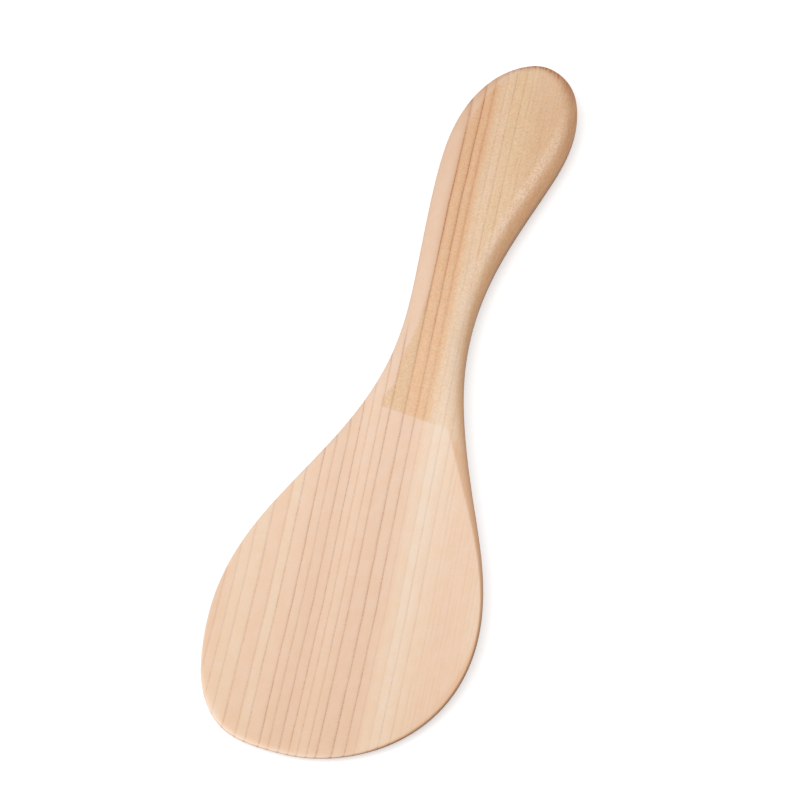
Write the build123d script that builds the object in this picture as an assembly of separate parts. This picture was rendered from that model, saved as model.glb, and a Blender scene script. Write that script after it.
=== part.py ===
from build123d import *
from math import cos, pi, radians, sin
import os

# A rice paddle sawn and carved from one flat piece of wood. It lies on its back with
# the middle of its footprint at the origin, its tip towards -Y and its handle along +Y.
# Lengths are in millimetres.

# Widths across the paddle
blade_width = 66.0
neck_width = 18.0
grip_width = 32.4

# Lengths along it, one after the other from the tip
nose_length = 40.0
taper_length = 103.0
swell_length = 69.4
butt_length = 27.6

# How far the middle of the sawn outline wanders to the right of a straight line
tip_drift = -3.8
blade_drift = 1.2
neck_drift = -1.85
butt_drift = 3.2

# The board, and the slanting cut that thins the blade from the ridge to the tip
board_thickness = 9.0
tip_thickness = 2.8
face_length = 105.0
ridge_skew_angle = 9.5

# Rounded edges, and the most that each may take of the wood that carries it
handle_edge_radius = 5.0
back_edge_radius = 3.5
thickness_share = 0.56
back_share = 0.4
neck_share = 0.3
butt_share = 0.6

# How far the cutting tool runs past the wood
overrun = 12.0

# The outline's places, run by run: the way along the run, the way from its first width
# to its last, and the way from its first drift to its last
nose_shares = (
    (0.0, 0.0, 0.0),
    (0.085, 0.48, 0.15),
    (0.28, 0.748, 0.53),
    (0.58, 0.924, 0.88),
    (1.0, 1.0, 1.0),
)
taper_shares = (
    (0.2, 0.113, 0.07),
    (0.43, 0.454, 0.13),
    (0.66, 0.796, 0.21),
    (0.82, 0.947, 0.44),
    (1.0, 1.0, 0.79),
)
swell_shares = (
    (0.26, 0.15, 0.0),
    (0.52, 0.48, 0.07),
    (0.76, 0.825, 0.27),
)

# The butt is half an ellipse: the angle of each place as a share of a quarter turn,
# and the way from the neck's drift to the butt's
butt_shares = ((0.0, 0.53), (0.34, 0.74), (0.67, 0.92), (1.0, 1.0))


def between(start, end, share):
    return start + (end - start) * share


def stations(start, length, widths, drifts, shares):
    """Places along one run of the outline, each with its half width and its drift."""
    return [
        (start + length * along, between(*widths, wide) / 2, between(*drifts, drift))
        for along, wide, drift in shares
    ]


def butt_run():
    """The butt's places in the same form as the other runs."""
    turns = [(share * pi / 2, drift) for share, drift in butt_shares]
    return [(sin(turn), 1 - cos(turn), drift) for turn, drift in turns]


def outline():
    """The sawn outline as one closed curve, up the right side and down the left."""
    neck_place = nose_length + taper_length
    swell_place = neck_place + swell_length
    places = [
        *stations(0, nose_length, (0, blade_width), (tip_drift, blade_drift), nose_shares),
        *stations(
            nose_length, taper_length, (blade_width, neck_width), (blade_drift, neck_drift), taper_shares
        ),
        *stations(
            neck_place, swell_length, (neck_width, grip_width), (neck_drift, butt_drift), swell_shares
        ),
        *stations(swell_place, butt_length, (grip_width, 0), (neck_drift, butt_drift), butt_run()),
    ]
    right = [(drift + half, place) for place, half, drift in places]
    left = [(drift - half, place) for place, half, drift in places[1:-1]]
    return Spline(*right, *reversed(left), periodic=True)


def blank():
    """The sawn board with its edges rounded over, before the blade is thinned."""
    butt_curve_radius = (grip_width / 2) ** 2 / butt_length
    handle_radius = min(
        handle_edge_radius,
        board_thickness * thickness_share,
        neck_width * neck_share,
        butt_curve_radius * butt_share,
    )
    back_radius = min(back_edge_radius, board_thickness * back_share)
    board = extrude(make_face(outline()), board_thickness)
    board = fillet(board.edges().group_by(Axis.Z)[-1], handle_radius)
    return fillet(board.edges().group_by(Axis.Z)[0], back_radius)


def face_cut():
    """The wood planed off above the blade, down a slope from the ridge past the tip."""
    reach = face_length + overrun
    fall = (board_thickness - tip_thickness) / (face_length * cos(radians(ridge_skew_angle)))
    profile = Polyline(
        (0, board_thickness),
        (-reach, board_thickness - fall * reach),
        (-reach, board_thickness + overrun),
        (0, board_thickness + overrun),
        close=True,
    )
    wedge = extrude(Plane.YZ * make_face(profile), blade_width, both=True)
    return Pos(0, face_length, 0) * Rot(0, 0, -ridge_skew_angle) * wedge


def centred(solid):
    """The solid moved so that the middle of its footprint is the origin."""
    middle = solid.bounding_box().center()
    return Pos(-middle.X, -middle.Y, 0) * solid


paddle = centred(blank() - face_cut())

os.makedirs("parts", exist_ok=True)
export_step(paddle, "parts/paddle.step")
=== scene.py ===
import math

import bmesh
import bpy
import numpy as np
from bpy.props import FloatProperty, FloatVectorProperty, IntProperty, PointerProperty
from bpy.types import Operator, Panel, PropertyGroup
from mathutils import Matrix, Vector


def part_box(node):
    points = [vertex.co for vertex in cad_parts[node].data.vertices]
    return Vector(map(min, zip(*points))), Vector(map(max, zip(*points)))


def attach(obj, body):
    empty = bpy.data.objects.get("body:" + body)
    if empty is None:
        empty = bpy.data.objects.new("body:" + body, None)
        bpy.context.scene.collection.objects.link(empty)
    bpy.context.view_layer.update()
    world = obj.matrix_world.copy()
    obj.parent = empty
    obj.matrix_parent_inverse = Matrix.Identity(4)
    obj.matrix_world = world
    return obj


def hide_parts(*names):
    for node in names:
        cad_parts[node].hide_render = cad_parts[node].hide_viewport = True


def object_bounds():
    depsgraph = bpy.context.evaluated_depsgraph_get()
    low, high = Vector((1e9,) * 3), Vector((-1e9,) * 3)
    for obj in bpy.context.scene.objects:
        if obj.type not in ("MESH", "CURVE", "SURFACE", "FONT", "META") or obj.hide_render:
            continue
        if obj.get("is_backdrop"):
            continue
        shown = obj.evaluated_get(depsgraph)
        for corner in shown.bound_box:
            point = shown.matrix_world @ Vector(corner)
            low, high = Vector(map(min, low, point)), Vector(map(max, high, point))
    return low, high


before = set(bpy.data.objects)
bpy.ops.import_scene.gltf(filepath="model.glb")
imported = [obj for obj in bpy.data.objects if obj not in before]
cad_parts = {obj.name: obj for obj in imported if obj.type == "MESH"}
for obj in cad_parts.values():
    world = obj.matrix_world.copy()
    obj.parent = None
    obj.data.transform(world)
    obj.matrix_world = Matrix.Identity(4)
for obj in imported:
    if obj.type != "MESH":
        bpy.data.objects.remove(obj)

bl_info = {
    "name": "Rice Paddle",
    "version": (1, 0, 0),
    "blender": (4, 5, 0),
    "location": "3D View > Sidebar > Rice Paddle",
    "description": "Carves a wooden rice paddle from its sawn outline and sets it on a plain stage",
    "category": "Object",
}

MM = 0.001
CAD_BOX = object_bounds()
BLANK_LOW, BLANK_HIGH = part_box("paddle")


class PaddleShape(PropertyGroup):
    """Sizes of the carved paddle. The outline itself comes from the frame."""

    ridge_place: FloatProperty(
        name="Ridge place",
        description="Where the ridge between handle and blade crosses the middle, along the paddle",
        default=-15.06 * MM,
        unit="LENGTH",
    )
    ridge_skew: FloatProperty(
        name="Ridge skew",
        description="Turn of the ridge away from square to the paddle",
        default=math.radians(9.5),
        subtype="ANGLE",
    )
    ridge_softness: FloatProperty(
        name="Ridge softness",
        description="Width over which the ridge is sanded round",
        default=0.8 * MM,
        unit="LENGTH",
    )
    tip_thickness: FloatProperty(
        name="Tip thickness",
        description="Thickness that the slanting blade comes down to at the tip",
        default=2.8 * MM,
        unit="LENGTH",
    )
    round_across: FloatProperty(
        name="Rounding across",
        description="How far the handle's rounded edge reaches in from the outline",
        default=5.2 * MM,
        unit="LENGTH",
    )
    round_wider: FloatProperty(
        name="Rounding beside the blade",
        description="How much further in the rounded edge reaches beside the blade",
        default=1.2 * MM,
        unit="LENGTH",
    )
    round_down: FloatProperty(
        name="Rounding down",
        description="How far the handle's rounded edge reaches down the side",
        default=4.8 * MM,
        unit="LENGTH",
    )
    back_round: FloatProperty(
        name="Back rounding",
        description="Radius of the edge round the flat back",
        default=3.5 * MM,
        unit="LENGTH",
    )
    sanding: FloatProperty(
        name="Sanding",
        description="How far sanding spreads each crisp edge",
        default=0.32 * MM,
        unit="LENGTH",
    )
    rim_sanding: FloatProperty(
        name="Rim sanding",
        description="How far sanding spreads the rim at the blade's tip",
        default=0.7 * MM,
        unit="LENGTH",
    )
    rim_across: FloatProperty(
        name="Rim across",
        description="How far in from the tip's edge the blade starts to round off",
        default=2.6 * MM,
        unit="LENGTH",
    )
    rim_down: FloatProperty(
        name="Rim down",
        description="How much the blade has rounded off at the tip's edge",
        default=0.8 * MM,
        unit="LENGTH",
    )
    stations: IntProperty(
        name="Stations",
        description="Places along the paddle at which its edge is carved",
        default=260,
        min=60,
    )


def paint(red, green, blue):
    """A colour as a screen gives it, 0 to 255, in the linear values that materials take."""
    return tuple(
        level / 12.92 if level <= 0.04045 else ((level + 0.055) / 1.055) ** 2.4
        for level in (red / 255, green / 255, blue / 255)
    )


def tone(name, description, red, green, blue):
    """A colour property."""
    return FloatVectorProperty(
        name=name,
        description=description,
        default=paint(red, green, blue),
        min=0,
        max=1,
        subtype="COLOR",
    )


class PaddleWood(PropertyGroup):
    """Tones of the wood, with painted shade and painted light among those of its sides and ends."""

    peach: tone("Peach", "Freshly carved wood", 242, 212, 188)
    rose: tone("Rose", "Pinker bands of freshly carved wood", 239, 208, 184)
    blond: tone("Blond", "Pale bands of freshly carved wood", 243, 217, 193)
    cream: tone("Cream", "Palest band of freshly carved wood", 244, 222, 201)
    tan: tone("Tan", "Planed top of the handle", 234, 199, 164)
    amber: tone("Amber", "Stained bands on top of the handle", 237, 197, 160)
    rust: tone("Rust", "Darkest of the stained bands", 218, 166, 124)
    straw: tone("Straw", "Paler bands on top of the handle", 241, 212, 182)
    wheat: tone("Wheat", "Yellower bands on top of the handle", 239, 209, 174)
    late_wood: tone("Late wood", "Thin dark lines between the growth rings", 168, 102, 70)
    # Painted shade with some side-grain brown, for the right side and far end that face away from the
    # lamp
    flank_grain_and_shade: tone("Flank", "Handle's right side and far end", 214, 166, 124)
    # Painted shade on the blade's right rounded edge, which faces away from the lamp
    shaded_facet: tone("Facet", "Rounded edge left beside the slanting blade", 234, 173, 117)
    # Darker end grain at the butt, partly real end grain and partly painted shade
    end_grain_and_shade: tone("Scorch", "End grain round the handle's butt", 180, 111, 60)
    # Freshly cut end grain at the tip, with painted light where the rim faces the lamp
    rim: tone("Rim", "Freshly cut edge of the blade's tip", 249, 227, 208)
    # Painted shade for edges that turn under, near the table
    underside_shade: tone("Underside", "Edge where it turns under, near the table", 142, 98, 68)
    deepening: tone("Deepening", "Deepens the wood towards both ends", 244, 238, 231)
    blush: tone("Blush", "Turns patches of the wood pinker", 255, 251, 246)


class PaddleStage(PropertyGroup):
    """Camera, lamp, floor and the light from all round."""

    camera_turn: FloatProperty(
        name="Camera turn",
        description="How far the camera stands round to the paddle's right",
        default=math.radians(15.01),
        subtype="ANGLE",
    )
    camera_height: FloatProperty(
        name="Camera height",
        description="Angle of the camera above the floor",
        default=math.radians(49.0),
        subtype="ANGLE",
    )
    camera_distance: FloatProperty(
        name="Camera distance",
        description="From the camera to the point it aims at",
        default=1.0,
        unit="LENGTH",
    )
    camera_lens: FloatProperty(
        name="Lens",
        description="Focal length on a sensor 36 mm wide",
        default=174.8,
        unit="CAMERA",
    )
    camera_aim: FloatVectorProperty(
        name="Aim",
        description="Point on the floor in the middle of the picture",
        default=(-6.28 * MM, -2.87 * MM, 0.0),
        subtype="TRANSLATION",
        unit="LENGTH",
    )
    lamp_place: FloatVectorProperty(
        name="Lamp place",
        description="Where the soft lamp stands. It points at the middle of the paddle",
        default=(-0.55, -0.82, 1.24),
        subtype="TRANSLATION",
        unit="LENGTH",
    )
    lamp_size: FloatProperty(
        name="Lamp size",
        description="Side of the square soft lamp",
        default=1.4,
        unit="LENGTH",
    )
    lamp_power: FloatProperty(
        name="Lamp power",
        description="Power of the soft lamp on the left",
        default=10.8,
        unit="POWER",
    )
    sky_light: FloatProperty(
        name="Surrounding light", description="Strength of the light from all round", default=0.72
    )
    floor_white: FloatProperty(
        name="Floor white", description="Paleness of the floor", default=0.8, min=0, max=1
    )
    floor_glow: FloatProperty(
        name="Floor glow", description="White added to the floor for the camera alone", default=0.45
    )


# Carving

# How high up the frame's wall is cut for the outline, and how close two of its points are
# that are joined
CUT_HEIGHT = 2 * MM
WELD_GAP = 1e-6

# How finely the outline, the edge and its sanding are worked out, and over how many of
# its spreads the sanding counts
OUTLINE_SAMPLES, OUTLINE_WAVES = 2048, 70
TURN_STEPS = 6000
ROUND_STEPS, WALL_STEPS, FACE_STEPS = 90, 12, 60
SANDING_STEP = 0.05 * MM
SANDING_REACH = 3

# The ring of edge profiles: how far in it reaches, the points of each profile, and the
# length and the bend in radians that draw the same share of those points
RING_REACH, RING_POINTS = 6.4 * MM, 36
SHARE_LENGTH, SHARE_BEND = 8 * MM, 1.2

# Faces in each row across the top and the back
RUNGS = 16

# The rim at the tip: the run down the blade over which it comes in, its share where the
# edge faces sideways, and what is added to that where the edge faces the tip
RIM_RUN = 60 * MM
RIM_SIDEWAYS, RIM_FORWARD = 0.2, 1.4

# The run across the ridge over which the rounded edge widens beside the blade
WIDENING_RUN = 28 * MM


def sawn_outline():
    """The paddle's outline in order, from a level cut through the frame's wall."""
    cut = bmesh.new()
    cut.from_mesh(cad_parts["paddle"].data)
    bmesh.ops.remove_doubles(cut, verts=cut.verts, dist=WELD_GAP)
    bmesh.ops.bisect_plane(
        cut,
        geom=cut.verts[:] + cut.edges[:] + cut.faces[:],
        plane_co=(0, 0, CUT_HEIGHT),
        plane_no=(0, 0, 1),
        clear_inner=True,
        clear_outer=True,
    )
    start = min(cut.verts, key=lambda v: v.co.y)
    loop, last, here = [], None, start
    while True:
        loop.append((here.co.x, here.co.y))
        ahead = [edge.other_vert(here) for edge in here.link_edges]
        ahead = [vert for vert in ahead if vert is not last]
        last, here = here, ahead[0]
        if here is start:
            break
    whole = len(loop) == len(cut.verts)
    cut.free()
    if not whole:
        raise RuntimeError("the frame's outline is not one closed loop")
    points = np.array(loop)
    ahead = np.roll(points, -1, 0)
    area = (points[:, 0] * ahead[:, 1] - points[:, 1] * ahead[:, 0]).sum()
    return points if area > 0 else points[::-1]


class Outline:
    """The sawn outline as a fair closed curve that gives a place and a normal anywhere along it."""

    def __init__(self, points, spread):
        self.spread = spread
        steps = np.hypot(*(np.roll(points, -1, 0) - points).T)
        along = np.concatenate(([0.0], np.cumsum(steps)))
        even = np.arange(OUTLINE_SAMPLES) / OUTLINE_SAMPLES * along[-1]
        closed = np.vstack((points, points[:1]))
        curve = np.interp(even, along, closed[:, 0]) + 1j * np.interp(even, along, closed[:, 1])
        self.waves = np.concatenate((np.arange(OUTLINE_WAVES + 1), np.arange(-OUTLINE_WAVES, 0)))
        self.terms = (np.fft.fft(curve) / len(even))[self.waves]

    def at(self, turn):
        """Places and inward normals at shares of one turn round the outline."""
        swing = np.exp(2j * np.pi * np.outer(turn, self.waves))
        place = swing @ self.terms
        onward = swing @ (self.terms * 2j * np.pi * self.waves)
        inward = 1j * onward / np.abs(onward)
        return place - inward * self.spread, inward


def past_ridge(place, shape):
    """How far past the ridge a place is, towards the butt and square to the ridge."""
    skew = shape.ridge_skew
    ridge = shape.ridge_place * math.cos(skew)
    return place.imag * math.cos(skew) + place.real * math.sin(skew) - ridge


def paired_turns(outline, shape):
    """Shares of a turn up the right side and up the left, paired by lines beside the ridge."""
    turns = np.linspace(0, 1, TURN_STEPS + 1)
    place, inward = outline.at(turns)
    past = past_ridge(place + inward * RING_REACH, shape)
    low, high = int(np.argmin(past[:-1])), int(np.argmax(past[:-1]))
    right = np.arange(low, (high if high > low else high + TURN_STEPS) + 1)
    left = np.arange(low, (high if high < low else high - TURN_STEPS) - 1, -1)
    sides = [(turns[1] * side, past[side % TURN_STEPS]) for side in (right, left)]
    shares = np.linspace(0, 1, shape.stations + 1)
    levels = sum(np.interp(shares * (len(a) - 1), np.arange(len(a)), a) for _, a in sides) / 2
    levels[np.argmin(abs(levels))] = 0.0
    found = []
    for turn, past_side in sides:
        level = levels.copy()
        level[0], level[-1] = past_side[0], past_side[-1]
        found.append(np.interp(level, np.maximum.accumulate(past_side), turn))
    return found


def blade_fall(shape):
    """How fast the blade thins away from the ridge."""
    reach = (shape.ridge_place - BLANK_LOW.y) * math.cos(shape.ridge_skew)
    return (BLANK_HIGH.z - shape.tip_thickness) / reach


def top_height(place, shape):
    """Height of the flat top and the slanting blade, with the ridge between them sanded round."""
    past = past_ridge(place, shape)
    sunk = past - np.sqrt(past**2 + shape.ridge_softness**2)
    return BLANK_HIGH.z + blade_fall(shape) * sunk / 2


def face_height(here, inwards, reach, front, shape):
    """Height of the top so far in from the edge, with the tip's rim rounded off."""
    rounding = front * shape.rim_down * np.clip(1 - reach / shape.rim_across, 0, 1) ** 2
    return top_height(here + inwards * reach, shape) - rounding


def edge_profiles(place, inward, shape):
    """Each station's edge from the back, round the side and in over the top, as (in, up)."""
    turn = np.linspace(0, math.pi / 2, ROUND_STEPS)
    thickness, back = BLANK_HIGH.z, shape.back_round
    wall = np.linspace(back, thickness - shape.round_down, WALL_STEPS)[1:-1]
    back_in, back_up = back * (1 - np.sin(turn)), back * (1 - np.cos(turn))
    top_up = thickness - shape.round_down * (1 - np.sin(turn))
    blank_up = np.concatenate(([0.0], back_up, wall, top_up, [thickness]))
    past = past_ridge(place, shape)
    facing = np.clip(inward.imag * RIM_FORWARD + RIM_SIDEWAYS, 0, 1)
    fronts = np.clip(-past / RIM_RUN, 0, 1) * facing
    beside = np.clip(0.5 - past / WIDENING_RUN, 0, 1)
    widths = shape.round_across + shape.round_wider * beside**2 * (3 - 2 * beside)
    profiles = []
    for here, inwards, front, width in zip(place, inward, fronts, widths):
        top_in = width * (1 - np.cos(turn))
        blank_in = np.concatenate(([RING_REACH], back_in, np.zeros(len(wall)), top_in, [RING_REACH]))
        spare = face_height(here, inwards, blank_in, front, shape) - blank_up
        cut = int(np.argmax(spare < 0))
        share = spare[cut - 1] / (spare[cut - 1] - spare[cut])
        start = blank_in[cut - 1] * (1 - share) + blank_in[cut] * share
        face_in = np.linspace(start, RING_REACH, FACE_STEPS)
        face_up = face_height(here, inwards, face_in, front, shape)
        edge = np.column_stack((blank_in[:cut], blank_up[:cut]))
        line = np.vstack((edge, np.column_stack((face_in, face_up))))
        profiles.append(sanded(line, shape.sanding + (shape.rim_sanding - shape.sanding) * front))
    return np.array(profiles)


def sanded(line, spread):
    """A line with its corners sanded round, given by more points where it bends more."""
    lengths = np.concatenate(([0.0], np.cumsum(np.hypot(*np.diff(line, axis=0).T))))
    even = np.linspace(0, lengths[-1], int(lengths[-1] / SANDING_STEP))
    fine = np.column_stack([np.interp(even, lengths, line[:, axis]) for axis in (0, 1)])
    reach = int(SANDING_REACH * spread / SANDING_STEP)
    kernel = np.exp(-0.5 * (np.arange(-reach, reach + 1) * SANDING_STEP / spread) ** 2)
    kernel /= kernel.sum()
    first, last = fine[1] - fine[0], fine[-1] - fine[-2]
    before = fine[0] - first * np.arange(reach, 0, -1)[:, None]
    after = fine[-1] + last * np.arange(1, reach + 1)[:, None]
    longer = np.vstack((before, fine, after))
    soft = np.column_stack([np.convolve(longer[:, axis], kernel, "valid") for axis in (0, 1)])
    run = np.diff(soft, axis=0)
    bend = np.abs(np.diff(np.unwrap(np.arctan2(run[:, 1], run[:, 0]))))
    bend = np.concatenate((bend[:1], bend))
    weight = np.hypot(*run.T) / SHARE_LENGTH + bend / SHARE_BEND
    weight = np.concatenate(([0.0], np.cumsum(weight)))
    wanted = np.linspace(0, weight[-1], RING_POINTS)
    return np.column_stack([np.interp(wanted, weight, soft[:, axis]) for axis in (0, 1)])


def close_ring(corners, faces, start, shape, on_top):
    """Adds rungs from the right to the left of a ring, and the faces between them."""
    around = 2 * shape.stations
    rows = [[start]]
    for station in range(1, shape.stations):
        here, there = start + station, start + around - station
        row = [here]
        for rung in range(1, RUNGS):
            share = rung / RUNGS
            x, y = (
                corners[here][axis] * (1 - share) + corners[there][axis] * share
                for axis in (0, 1)
            )
            row.append(len(corners))
            corners.append((x, y, float(top_height(complex(x, y), shape)) if on_top else 0.0))
        rows.append(row + [there])
    rows.append([start + shape.stations])
    for lower, upper in zip(rows[:-1], rows[1:]):
        if len(lower) == 1:
            made = [(lower[0], upper[r], upper[r + 1]) for r in range(RUNGS)]
        elif len(upper) == 1:
            made = [(lower[r], upper[0], lower[r + 1]) for r in range(RUNGS)]
        else:
            made = [(lower[r], upper[r], upper[r + 1], lower[r + 1]) for r in range(RUNGS)]
        faces.extend(made if on_top else [tuple(reversed(face)) for face in made])


def carve(shape):
    """The paddle's mesh: a ring of edge profiles, closed over the top and across the back."""
    back = shape.back_round
    lost = back - math.sqrt(back**2 - (back - CUT_HEIGHT) ** 2)
    outline = Outline(sawn_outline(), lost)
    right, left = paired_turns(outline, shape)
    place, inward = outline.at(np.concatenate((right, left[-2:0:-1])))
    profiles = edge_profiles(place, inward, shape)
    around = len(place)
    corners, faces = [], []
    for level in range(RING_POINTS):
        spot = place + inward * profiles[:, level, 0]
        corners += zip(spot.real, spot.imag, profiles[:, level, 1])
    for low in range(0, (RING_POINTS - 1) * around, around):
        high = low + around
        for here in range(around):
            after = (here + 1) % around
            faces.append((low + here, low + after, high + after, high + here))
    close_ring(corners, faces, (RING_POINTS - 1) * around, shape, on_top=True)
    close_ring(corners, faces, 0, shape, on_top=False)
    mesh = bpy.data.meshes.new("paddle_carved")
    mesh.from_pydata(corners, [], faces)
    mesh.validate()
    mesh.shade_smooth()
    return mesh


# Shader expressions

# Sockets of a Mix node for colours, whose names stand for several sockets each
MIX_SHARE, MIX_FIRST, MIX_SECOND, MIX_RESULT = 0, 6, 7, 2


class Wire:
    """One output of a node. Arithmetic on it adds Math nodes."""

    def __init__(self, finish, socket):
        self.finish = finish
        self.socket = socket

    def maths(self, operation, *terms):
        return self.finish.node("ShaderNodeMath", {"operation": operation}, dict(enumerate(terms)))

    def __add__(self, other):
        return self.maths("ADD", self, other)

    def __radd__(self, other):
        return self.maths("ADD", other, self)

    def __sub__(self, other):
        return self.maths("SUBTRACT", self, other)

    def __rsub__(self, other):
        return self.maths("SUBTRACT", other, self)

    def __mul__(self, other):
        return self.maths("MULTIPLY", self, other)

    def __rmul__(self, other):
        return self.maths("MULTIPLY", other, self)

    def __truediv__(self, other):
        return self.maths("DIVIDE", self, other)

    def __rtruediv__(self, other):
        return self.maths("DIVIDE", other, self)

    def __pow__(self, other):
        return self.maths("POWER", self, other)

    def __rpow__(self, other):
        return self.maths("POWER", other, self)

    def __neg__(self):
        return self.maths("MULTIPLY", self, -1.0)

    def __abs__(self):
        return self.maths("ABSOLUTE", self)

    def __lt__(self, other):
        return self.maths("LESS_THAN", self, other)

    def __gt__(self, other):
        return self.maths("GREATER_THAN", self, other)

    def __round__(self):
        return self.maths("ROUND", self)

    def least(self, other):
        return self.maths("MINIMUM", self, other)

    def most(self, other):
        return self.maths("MAXIMUM", self, other)

    def ease(self, start, end):
        """0 before start and 1 after end, smooth between. The two may be in either order."""
        settings = {"interpolation_type": "SMOOTHSTEP"}
        sockets = {"Value": self, "From Min": start, "From Max": end}
        return self.finish.node("ShaderNodeMapRange", settings, sockets)


class Finish:
    """The nodes of a material or of the surroundings, added by expressions."""

    def __init__(self, owner):
        owner.use_nodes = True
        self.owner = owner
        self.tree = owner.node_tree
        self.tree.nodes.clear()

    def node(self, kind, settings=None, sockets=None, output=0):
        """Adds a node: its type, its settings, then the values or links of its sockets."""
        node = self.tree.nodes.new(kind)
        for name, setting in (settings or {}).items():
            if name == "stops":
                self.set_stops(node.color_ramp, setting)
            elif name == "bends":
                self.set_bends(node.mapping, setting)
            else:
                setattr(node, name, setting)
        for name, value in (sockets or {}).items():
            socket = node.inputs[name]
            if isinstance(value, Wire):
                self.tree.links.new(value.socket, socket)
            else:
                socket.default_value = value
        return Wire(self, node.outputs[output]) if node.outputs else node

    @staticmethod
    def set_stops(ramp, stops):
        """Sets a ramp's stops, each a place and a colour, with eased steps between them."""
        ramp.interpolation = "EASE"
        for _ in stops[2:]:
            ramp.elements.new(0.5)
        for element, (place, colour) in zip(ramp.elements, stops):
            element.position, element.color = place, (*colour, 1.0)

    @staticmethod
    def set_bends(mapping, bends):
        """Sets a curve's bends, each a place and a height, with straight runs between them."""
        curve = mapping.curves[0]
        for _ in bends[2:]:
            curve.points.new(0.5, 0.5)
        for point, (across, up) in zip(curve.points, bends):
            point.location, point.handle_type = (across, up), "VECTOR"
        mapping.update()

    def mix(self, share, first, second, blend="MIX"):
        """The first colour turned by a share to the second, or blended with it another way."""
        settings = {"data_type": "RGBA", "blend_type": blend}
        sockets = {MIX_SHARE: share, MIX_FIRST: first, MIX_SECOND: second}
        return self.node("ShaderNodeMix", settings, sockets, MIX_RESULT)

    def vector(self, x, y, z):
        """A vector from its three parts."""
        return self.node("ShaderNodeCombineXYZ", None, {"X": x, "Y": y, "Z": z})

    def parts(self, vector):
        """The three parts of a vector."""
        return [
            self.node("ShaderNodeSeparateXYZ", None, {"Vector": vector}, part) for part in "XYZ"
        ]

    def noise(self, x, y, z, detail=2.0, roughness=0.5):
        """Noise from 0 to 1, mostly near a half. The larger the three parts, the finer it is."""
        place = self.vector(x, y, z)
        sockets = {"Vector": place, "Scale": 1.0, "Detail": detail, "Roughness": roughness}
        return self.node("ShaderNodeTexNoise", None, sockets)

    def bands(self, across, wood, bands):
        """A colour read off bands across the board."""
        stops = [(share_of(at), tuple(getattr(wood, tone))) for at, tone in bands]
        return self.node("ShaderNodeValToRGB", {"stops": stops}, {"Fac": share_of(across)})

    def curve(self, place, bends, low, high):
        """A value read off straight runs between given bends, each a place and a value."""
        first, last = bends[0][0], bends[-1][0]
        bends = [
            ((at - first) / (last - first), (value - low) / (high - low)) for at, value in bends
        ]
        share = (place - first) / (last - first)
        read = self.node("ShaderNodeFloatCurve", {"bends": bends}, {"Value": share})
        return read * (high - low) + low

    def done(self, shader, output="ShaderNodeOutputMaterial"):
        """Joins the shader to the output and gives back what owns the nodes."""
        self.node(output, None, {"Surface": shader})
        return self.owner


# The wood

# The fine rings on the right: their number, the place of the first, how far apart they are
# and how unevenly, in millimetres, and how dark their lines are
FINE_RINGS, FINE_START, FINE_APART, FINE_UNEVEN = 18, 14.3, 0.95, 0.2
FINE_DARKNESS = 0.19

# Late-wood lines across the board: the place in millimetres and how dark the line is
LATE_LINES = (
    (-40.5, 0.4),
    (-37.8, 0.5),
    (-35.5, 0.45),
    (-32.9, 0.4),
    (-29.6, 0.55),
    (-26.0, 0.55),
    (-23.5, 0.7),
    (-19.9, 0.95),
    (-17.6, 0.6),
    (-14.9, 0.85),
    (-12.4, 0.9),
    (-10.4, 0.6),
    (-8.0, 0.7),
    (-5.8, 0.95),
    (-2.1, 1.0),
    (0.9, 1.0),
    (3.1, 0.3),
    (6.2, 0.25),
    (8.4, 0.46),
    (11.0, 0.4),
    (13.2, 0.25),
    *(
        (FINE_START + FINE_APART * ring + FINE_UNEVEN * (ring % 3), FINE_DARKNESS)
        for ring in range(FINE_RINGS)
    ),
)
BOARD_LEFT, BOARD_RIGHT = LATE_LINES[0][0], LATE_LINES[-1][0]

# Bands of wood across the board: the place in millimetres and the wood's tone there
FRESH_BANDS = (
    (-39, "rose"),
    (-37.5, "peach"),
    (-34, "blond"),
    (-30.5, "blond"),
    (-29, "peach"),
    (-27, "peach"),
    (-25.2, "blond"),
    (-24.0, "blond"),
    (-22.6, "peach"),
    (-15, "rose"),
    (-10, "peach"),
    (-5, "rose"),
    (1.2, "rose"),
    (3.4, "peach"),
    (4.6, "blond"),
    (5.6, "blond"),
    (6.8, "cream"),
    (8, "cream"),
    (11, "blond"),
    (17.5, "peach"),
    (22, "peach"),
    (25, "blond"),
)
TANNED_BANDS = (
    (-8, "tan"),
    (-2.6, "tan"),
    (-1.6, "amber"),
    (3.4, "amber"),
    (5.8, "straw"),
    (8.2, "straw"),
    (9.4, "wheat"),
    (12, "wheat"),
    (18, "tan"),
    (24, "tan"),
)

# Slow wander of the lines: the place along the board and the shift, in millimetres
WANDER = (
    (-120, 0.22),
    (-75, -0.28),
    (-42, -0.07),
    (0, -0.04),
    (38, 0.1),
    (58, 0.2),
    (80, -0.02),
    (120, -0.4),
)

# How far the rings lean across the board for each millimetre along it and down through it
LEAN_ALONG, LEAN_DOWN = 0.0975, 0.3

# The rings in millimetres: how wide most of them are, how much narrower they are on the
# right, and the run across the board over which they narrow
RING_WIDTH, RING_NARROWS, NARROW_RINGS = 2.7, 1.7, (11.0, 14.0)

# How far a line and its stain spread in millimetres: on their sharp side, how much more on
# their soft side, and how much more a line spreads on the grip
LINE_SPREAD, LINE_SOFT, LINE_BOLD = 0.1, 0.07, 0.02
STAIN_SPREAD, STAIN_SOFT = 0.3, 0.25

# Runs from where a mark starts to where it is full, in millimetres across the board
STAIN_SIDE = (4.6, 3.4)
STRIP_STAIN_SIDE = (-4.0, -3.0)
NECK_PALE_SIDE = (3.0, 9.0)
BUTT_PALE_SIDE = (10.0, 14.0)

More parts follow.
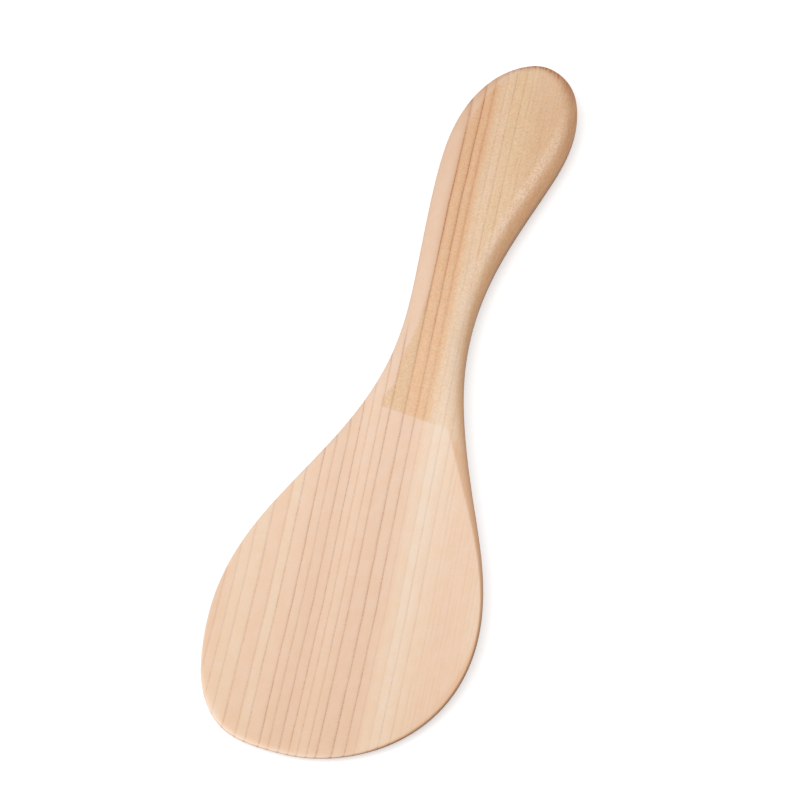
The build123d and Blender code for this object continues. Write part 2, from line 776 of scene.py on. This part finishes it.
# The same in millimetres past the ridge, which is about -104 at the tip and 133 at the butt
STRIP_STARTS = (2.0, 10.0)
STRIP_WIDENS = (14.0, 32.0)
STRIP_WIDENS_ON = (30.0, 45.0)
STRIP_FLATTENS = (16.0, 42.0)
STRIP_SHARPENS = (50.0, 40.0)
STRIP_CLEARS = (20.0, 30.0)
NECK_PALES = (60.0, 0.0)
BUTT_PALES = (106.0, 124.0)
GRIP_DARKENS = (10.0, 75.0)
FLANK_DARKENS = (20.0, 60.0)
FLANK_CRISPENS = (40.0, 70.0)
FACET_STARTS = (3.0, -6.0)
FACET_FROM_NECK = (28.0, 6.0)
FACET_FROM_TIP = (-85.0, -60.0)
EDGE_TUCKS = (60.0, 0.0)
RIM_PALES = (-40.0, -60.0)
RIM_DOTS = (-50.0, -70.0)
BUTT_DOTS = (98.0, 110.0)
BUTT_END_DARKENS = (87.0, 107.0)
DUST_FROM_NECK = (20.0, 50.0)
DUST_FROM_BUTT = (122.0, 100.0)

# Slopes from where a tone starts to where it is full, with 0 level and 1 upright
FLANK_SLOPE = (0.09, 0.52)
SIDE_SLOPE = (0.45, 0.9)
FACET_SLOPE = (0.03, 0.3)
RIM_DOT_SLOPE = (0.25, 0.7)
BUTT_DOT_SLOPE = (0.08, 0.35)

# The same for the crisper flank of the grip, in three steps with the share of each
CRISP_SLOPES = ((0.05, 0.15, 0.3), (0.14, 0.18, 0.4), (0.18, 0.6, 0.3))

# How far from the ridge the wood has deepened in full, in millimetres
DEEPENING_RUN = 115.0

# The bare wood's relief, with its depth and how much of it shows, and its gloss
RELIEF_DEPTH, RELIEF_STRENGTH = 0.2 * MM, 0.25
GLOSS = 0.3


def share_of(across):
    """How far across the board a place is, from 0 to 1."""
    return (across - BOARD_LEFT) / (BOARD_RIGHT - BOARD_LEFT)


class Board:
    """Where a point of the wood lies in its board, in millimetres, and which way it faces."""

    def __init__(self, finish, shape):
        place = finish.parts(finish.node("ShaderNodeTexCoord", None, None, "Object"))
        x, y, z = (part * (1 / MM) for part in place)
        self.x, self.y, self.z = x, y, z
        normal = finish.node("ShaderNodeNewGeometry", None, None, "Normal")
        self.face_x, self.face_y, self.face_z = finish.parts(normal)
        self.outward = (self.face_x * self.face_x + self.face_y * self.face_y) ** 0.5
        self.steep = 1.0 - abs(self.face_z)

        # How far past the ridge and how far below the top
        skew, ridge = shape.ridge_skew, shape.ridge_place / MM
        self.past = y * math.cos(skew) + x * math.sin(skew) - ridge * math.cos(skew)
        self.below = BLANK_HIGH.z / MM + self.past.least(0.0) * blade_fall(shape) - z

        # How far across the rings, which lean and wander, and the grit of the sanded surface
        self.ripple = finish.noise(x * 0.12, y * 0.09, z * 0.3) - 0.5
        tremble = finish.noise(x * 0.9, y * 0.35, z * 0.9, detail=1.0) - 0.5
        wander = finish.curve(y, WANDER, -1.0, 1.0) + self.ripple * 0.25 + tremble * 0.1
        self.across = x + (y - ridge) * LEAN_ALONG + self.below * LEAN_DOWN + wander
        self.grit = finish.noise(x * 1.8, y * 1.3, z * 1.8, roughness=0.6) - 0.5


def late_wood_lines(finish, board, bold):
    """The dark line between two rings, the stain round it and the way across the ring."""
    across = board.across
    count = len(LATE_LINES) - 1
    ring = finish.curve(across, [(at, n) for n, (at, _) in enumerate(LATE_LINES)], 0, count)
    strength = finish.curve(across, LATE_LINES, 0.0, 1.0)
    beyond = ring - round(ring)
    soft_side = beyond < 0.0
    narrow = across.ease(*NARROW_RINGS)
    apart = abs(beyond) * (RING_WIDTH - narrow * RING_NARROWS)
    line = math.e ** (-(apart / (LINE_SPREAD + soft_side * LINE_SOFT + bold * LINE_BOLD)))
    stain = math.e ** (-(apart / (STAIN_SPREAD + soft_side * STAIN_SOFT))) * across.ease(*STAIN_SIDE)
    beads = finish.noise(across, board.y * 2.4, board.below).ease(0.3, 0.65)
    fading = finish.noise(across * 0.8, board.y * 0.06, 0.0, detail=1.0).ease(0.35, 0.6)
    fading = 1.0 - (0.25 + narrow * 0.75) * (1.0 - fading)
    return line * strength * fading * (0.5 + beads * 0.6), stain, beyond + soft_side


def planed_top(board):
    """The planed top, which reaches from the ridge to the butt, right of a carved strip."""
    past, across, grit = board.past, board.across, board.grit
    limit = 0.42 - past.ease(*STRIP_FLATTENS) * 0.37
    strip = (grit * 0.08 - board.face_x - limit).ease(-0.03, 0.1)

    # The strip's edge across the board, in three steps to the right along the handle
    edge = (past + grit * 2.0).ease(*STRIP_STARTS) * 2.3 + past.ease(*STRIP_WIDENS) * 2.6
    edge = edge + past.ease(*STRIP_WIDENS_ON) - 8.2
    softness = 0.15 + past.ease(*STRIP_SHARPENS) * 0.65
    strip = strip.most(((edge - across) / softness + 0.5).ease(0.0, 1.0))

    planed = (past + grit * 0.8 + board.ripple).ease(-0.3, 0.3) * (1.0 - strip)
    planed = planed * (1.0 - across.ease(*NECK_PALE_SIDE) * past.ease(*NECK_PALES) * 0.5)
    return planed * (1.0 - across.ease(*BUTT_PALE_SIDE) * past.ease(*BUTT_PALES) * 0.3)


def flank_grain_and_shade_mask(board):
    """Painted shade, with some side-grain brown, on the handle's right side and far end, which face
    away from the lamp, and a little of every upright side.
    """
    flank_grain_and_shade = board.steep.ease(*FLANK_SLOPE)
    crisp = sum(board.steep.ease(start, full) * share for start, full, share in CRISP_SLOPES)
    flank_grain_and_shade = flank_grain_and_shade + (crisp - flank_grain_and_shade) * board.past.ease(*FLANK_CRISPENS)
    facing = (board.face_x + board.face_y * 0.25).ease(0.0, 0.5)
    flank_grain_and_shade = flank_grain_and_shade * facing * (0.8 + board.past.ease(*FLANK_DARKENS) * 0.2)
    return flank_grain_and_shade.most(board.steep.ease(*SIDE_SLOPE) * 0.4)


def shaded_blade_facet(board):
    """Painted shade on the rounded edge that the slanting blade leaves on the right, away from the
    lamp, and on its run into the neck.
    """
    shaded_facet = board.below.ease(0.04, 0.16) * board.past.ease(*FACET_STARTS)
    shaded_facet = shaded_facet.most(board.steep.ease(*FACET_SLOPE) * board.past.ease(*FACET_FROM_NECK) * 0.7)
    return shaded_facet * board.face_x.ease(0.02, 0.2) * board.past.ease(*FACET_FROM_TIP)


def butt_end_grain_and_shade(finish, board):
    """Streaked end grain round the butt, darkened further with painted shade, and weaker on its left,
    which faces the lamp.
    """
    end = (board.face_y / board.outward).ease(-0.1, 0.85)
    end = end * ((board.face_x / board.outward).ease(-0.8, -0.4) * 0.6 + 0.4)
    end = end * board.past.ease(*BUTT_END_DARKENS) * board.outward.ease(0.0, 0.55)
    streaks = finish.noise(board.across * 1.6, board.y * 0.12, board.below * 0.3)
    return end * (0.5 + streaks.ease(0.38, 0.6) * 0.55)


def lit_cut_rim(board):
    """The rim of the tip, paler as freshly cut end grain and with painted light where it faces the
    front and the left, towards the lamp.
    """
    facing = -board.face_x * 0.55 - board.face_y * 0.65
    return facing.ease(0.15, 0.62) * board.past.ease(*RIM_PALES)


def shaded_tucked_edge(board):
    """Painted shade on edges that turn under, near the table, darkest on the right of the blade and
    the neck.
    """
    down, right = -board.face_z, board.face_x
    tucked = down.ease(-0.3, 0.3) * (0.35 + right.ease(0.0, 0.6) * 0.5)
    turned = down.ease(-0.6, 0.0) * right.ease(0.2, 0.7)
    return tucked.most(turned * board.past.ease(*EDGE_TUCKS) * 0.75)


def open_ends(board):
    """Where lines end in dark dots, along the rim at the tip and round the butt."""
    ends = board.steep.ease(*RIM_DOT_SLOPE) * board.past.ease(*RIM_DOTS)
    return ends + board.steep.ease(*BUTT_DOT_SLOPE) * board.past.ease(*BUTT_DOTS)


def dust_and_sheen_shoulder(finish, board):
    """Dusty grain with a painted sheen on the handle's right shoulder, where its rounding starts."""
    shoulder = board.face_x.ease(0.02, 0.2) * board.face_x.ease(0.75, 0.4)
    shoulder = shoulder * board.past.ease(*DUST_FROM_NECK) * board.past.ease(*DUST_FROM_BUTT)
    dust = finish.noise(board.x * 2.3, board.y * 2.3, board.z * 2.3, detail=1.0)
    return shoulder * (0.18 + dust.ease(0.42, 0.58) * 0.65)


def wood_finish(wood, shape):
    """Bare sanded softwood, pale where it was carved and tanned where it was only planed."""
    finish = Finish(bpy.data.materials.new("paddle_wood"))
    node, mix, noise = finish.node, finish.mix, finish.noise
    board = Board(finish, shape)
    x, y, z, past = board.x, board.y, board.z, board.past
    across, below, grit = board.across, board.below, board.grit
    laid_tones = {name: (*getattr(wood, name), 1.0) for name in wood.__annotations__}

    planed = planed_top(board)
    fresh = finish.bands(across, wood, FRESH_BANDS)
    tanned = finish.bands(across, wood, TANNED_BANDS)
    colour = mix(planed, fresh, tanned)
    colour = mix(abs(past) / DEEPENING_RUN, colour, laid_tones["deepening"], "MULTIPLY")

    # Lines between the rings, with no line on the steep left of the strip
    grip = past.ease(*GRIP_DARKENS)
    line, stain, ring_way = late_wood_lines(finish, board, grip * planed)
    beside = grip * across.ease(*STRIP_STAIN_SIDE) * 0.5
    colour = mix(stain * (planed * (0.2 + grip * 0.55)).most(beside), colour, laid_tones["rust"])
    cleared = (-board.face_x).ease(0.3, 0.7) * past.ease(*STRIP_CLEARS)
    under = (-board.face_z).ease(0.1, 0.5)
    shown = (0.67 - planed * 0.14 + planed * grip * 0.44 + under * 0.3) * (1.0 - cleared)
    colour = mix(line * shown, colour, laid_tones["late_wood"])

    # Tones of the sides and ends, each laid over the ones before: painted shade on the right side, the
    # blade's right edge, the butt and underneath, painted light on the tip's rim and a painted sheen
    # on the right shoulder, with real end grain, dust and line ends
    # Painted shade, with some side-grain brown, on the right side and far end
    flank_grain_and_shade = flank_grain_and_shade_mask(board)
    for share, name in (
        # Painted shade on the blade's right rounded edge
        (shaded_blade_facet(board) * 0.45, "shaded_facet"),
        (flank_grain_and_shade, "flank_grain_and_shade"),
        # End grain at the butt, partly painted shade
        (butt_end_grain_and_shade(finish, board), "end_grain_and_shade"),
        # Freshly cut rim with painted light where it faces the lamp
        (lit_cut_rim(board) * 0.68, "rim"),
        # Painted shade under the edges, near the table
        (shaded_tucked_edge(board), "underside_shade"),
        (line**0.5 * open_ends(board) * 0.85, "late_wood"),
        # Dusty grain with a painted sheen on the right shoulder
        (dust_and_sheen_shoulder(finish, board), "peach"),
    ):
        colour = mix(share, colour, laid_tones[name])

    # Pink patches, rings that darken to their line, fibres and the planer's faint cross marks
    clouds = noise(x * 0.35, y * 0.2, z * 0.2, detail=3.0, roughness=0.6)
    colour = mix(clouds.ease(0.35, 0.65), colour, laid_tones["blush"], "MULTIPLY")
    fibre = noise(across * 5.0, y * 0.18, below * 3.0, detail=3.0, roughness=0.65) - 0.5
    thread = noise(across * 1.7, y * 0.06, below, roughness=0.6) - 0.5
    flecks = noise(x * 0.35, y * 1.2 + board.ripple * 4.0, z * 0.5, roughness=0.6)
    shade = 1.0 - ring_way * ring_way * 0.012 + fibre * (0.05 + planed * 0.07)
    shade = shade + thread * (planed * 0.12 + flank_grain_and_shade * 0.16) - flecks.ease(0.5, 0.8) * planed * 0.035
    shade = shade + grit * (0.08 + planed * 0.34)
    grey = finish.vector(shade, shade, shade)
    colour = node("ShaderNodeVectorMath", {"operation": "MULTIPLY"}, {0: colour, 1: grey})

    roughness = 0.62 + fibre * 0.12 - planed * 0.06 + line * 0.06
    relief = fibre * 0.6 - line * 0.5 + grit * 0.3
    sockets = {"Strength": RELIEF_STRENGTH, "Distance": RELIEF_DEPTH, "Height": relief}
    bump = node("ShaderNodeBump", None, sockets)
    looks = {"Base Color": colour, "Roughness": roughness, "Normal": bump, "Specular IOR Level": GLOSS}
    return finish.done(node("ShaderNodeBsdfPrincipled", None, looks))


# The pieces and the stage

# The camera's sensor in millimetres, and how far the floor reaches each way and how far
# under the paddle it lies, in metres
SENSOR_WIDTH = 36.0
FLOOR_REACH, FLOOR_DROP = 3.0, 0.1 * MM


def show(name, data):
    """Adds an object to the scene."""
    made = bpy.data.objects.new(name, data)
    bpy.context.scene.collection.objects.link(made)
    return made


def aim(made, place, onward):
    """Stands a lamp or a camera at a place and turns it to look onward."""
    made.location = place
    made.rotation_euler = onward.to_track_quat("-Z", "Y").to_euler()


class PADDLE_OT_carve(Operator):
    """Carve the paddle from the frame's outline and finish its wood"""

    bl_idname = "rice_paddle.carve"
    bl_label = "Carve Paddle"

    def execute(self, context):
        scene = context.scene
        piece = show("paddle_carved", carve(scene.paddle_shape))
        piece.data.materials.append(wood_finish(scene.paddle_wood, scene.paddle_shape))
        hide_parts("paddle")
        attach(piece, "root")
        return {"FINISHED"}


def floor_finish(stage):
    """Plain white floor that keeps the object's shadow and meets the white behind it."""
    finish = Finish(bpy.data.materials.new("stage_floor"))
    seen = finish.node("ShaderNodeLightPath", None, None, "Is Camera Ray")
    white = finish.node("ShaderNodeBsdfDiffuse", None, {"Color": (*[stage.floor_white] * 3, 1.0)})
    glow = finish.node("ShaderNodeEmission", None, {"Strength": seen * stage.floor_glow})
    return finish.done(finish.node("ShaderNodeAddShader", None, {0: white, 1: glow}))


def surroundings(stage):
    """Even light from all round, which the camera sees as plain white."""
    finish = Finish(bpy.data.worlds.new("surroundings"))
    seen = finish.node("ShaderNodeLightPath", None, None, "Is Camera Ray")
    strength = stage.sky_light + seen * (1.0 - stage.sky_light)
    looks = {"Color": (1.0, 1.0, 1.0, 1.0), "Strength": strength}
    sky = finish.node("ShaderNodeBackground", None, looks)
    return finish.done(sky, "ShaderNodeOutputWorld")


class PADDLE_OT_stage(Operator):
    """Set the floor, the lamp, the plain white surroundings and the camera"""

    bl_idname = "rice_paddle.stage"
    bl_label = "Set Stage"

    def execute(self, context):
        scene, stage = context.scene, context.scene.paddle_stage
        plane = bpy.data.meshes.new("floor")
        signs = (-1, -1), (1, -1), (1, 1), (-1, 1)
        corners = [(FLOOR_REACH * x, FLOOR_REACH * y, 0) for x, y in signs]
        plane.from_pydata(corners, [], [(0, 1, 2, 3)])
        plane.materials.append(floor_finish(stage))
        floor = show("floor", plane)
        floor.location.z = -FLOOR_DROP
        floor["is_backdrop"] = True

        light = bpy.data.lights.new("window_lamp", "AREA")
        light.shape, light.size, light.energy = "SQUARE", stage.lamp_size, stage.lamp_power
        aim(show("window_lamp", light), stage.lamp_place, -Vector(stage.lamp_place))
        scene.world = surroundings(stage)
        scene.view_settings.view_transform = "Standard"

        lens = bpy.data.cameras.new("camera")
        lens.lens, lens.sensor_width = stage.camera_lens, SENSOR_WIDTH
        scene.camera = show("camera", lens)
        turn, height = stage.camera_turn, stage.camera_height
        level = math.cos(height)
        back = Vector((math.sin(turn) * level, -math.cos(turn) * level, math.sin(height)))
        aim(scene.camera, Vector(stage.camera_aim) + back * stage.camera_distance, -back)
        return {"FINISHED"}


class PADDLE_PT_panel(Panel):
    """Sizes, tones and steps of the rice paddle"""

    bl_idname = "PADDLE_PT_panel"
    bl_label = "Rice Paddle"
    bl_space_type = "VIEW_3D"
    bl_region_type = "UI"
    bl_category = "Rice Paddle"

    def draw(self, context):
        scene = context.scene
        for title, group, step in (
            ("Shape", scene.paddle_shape, PADDLE_OT_carve),
            ("Wood", scene.paddle_wood, None),
            ("Stage", scene.paddle_stage, PADDLE_OT_stage),
        ):
            box = self.layout.box()
            box.label(text=title)
            for name in group.__annotations__:
                box.prop(group, name)
            if step:
                box.operator(step.bl_idname)


CLASSES = (
    PaddleShape,
    PaddleWood,
    PaddleStage,
    PADDLE_OT_carve,
    PADDLE_OT_stage,
    PADDLE_PT_panel,
)


def register():
    for made in CLASSES:
        bpy.utils.register_class(made)
    bpy.types.Scene.paddle_shape = PointerProperty(type=PaddleShape)
    bpy.types.Scene.paddle_wood = PointerProperty(type=PaddleWood)
    bpy.types.Scene.paddle_stage = PointerProperty(type=PaddleStage)


def unregister():
    del bpy.types.Scene.paddle_stage
    del bpy.types.Scene.paddle_wood
    del bpy.types.Scene.paddle_shape
    for made in reversed(CLASSES):
        bpy.utils.unregister_class(made)


def main():
    """Registers the add-on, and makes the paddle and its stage."""
    register()
    bpy.ops.rice_paddle.carve()
    bpy.ops.rice_paddle.stage()
    boxes = {
        name: [list(corner) for corner in box]
        for name, box in (("cad", CAD_BOX), ("visual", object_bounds()))
    }


if __name__ == "__main__":
    main()
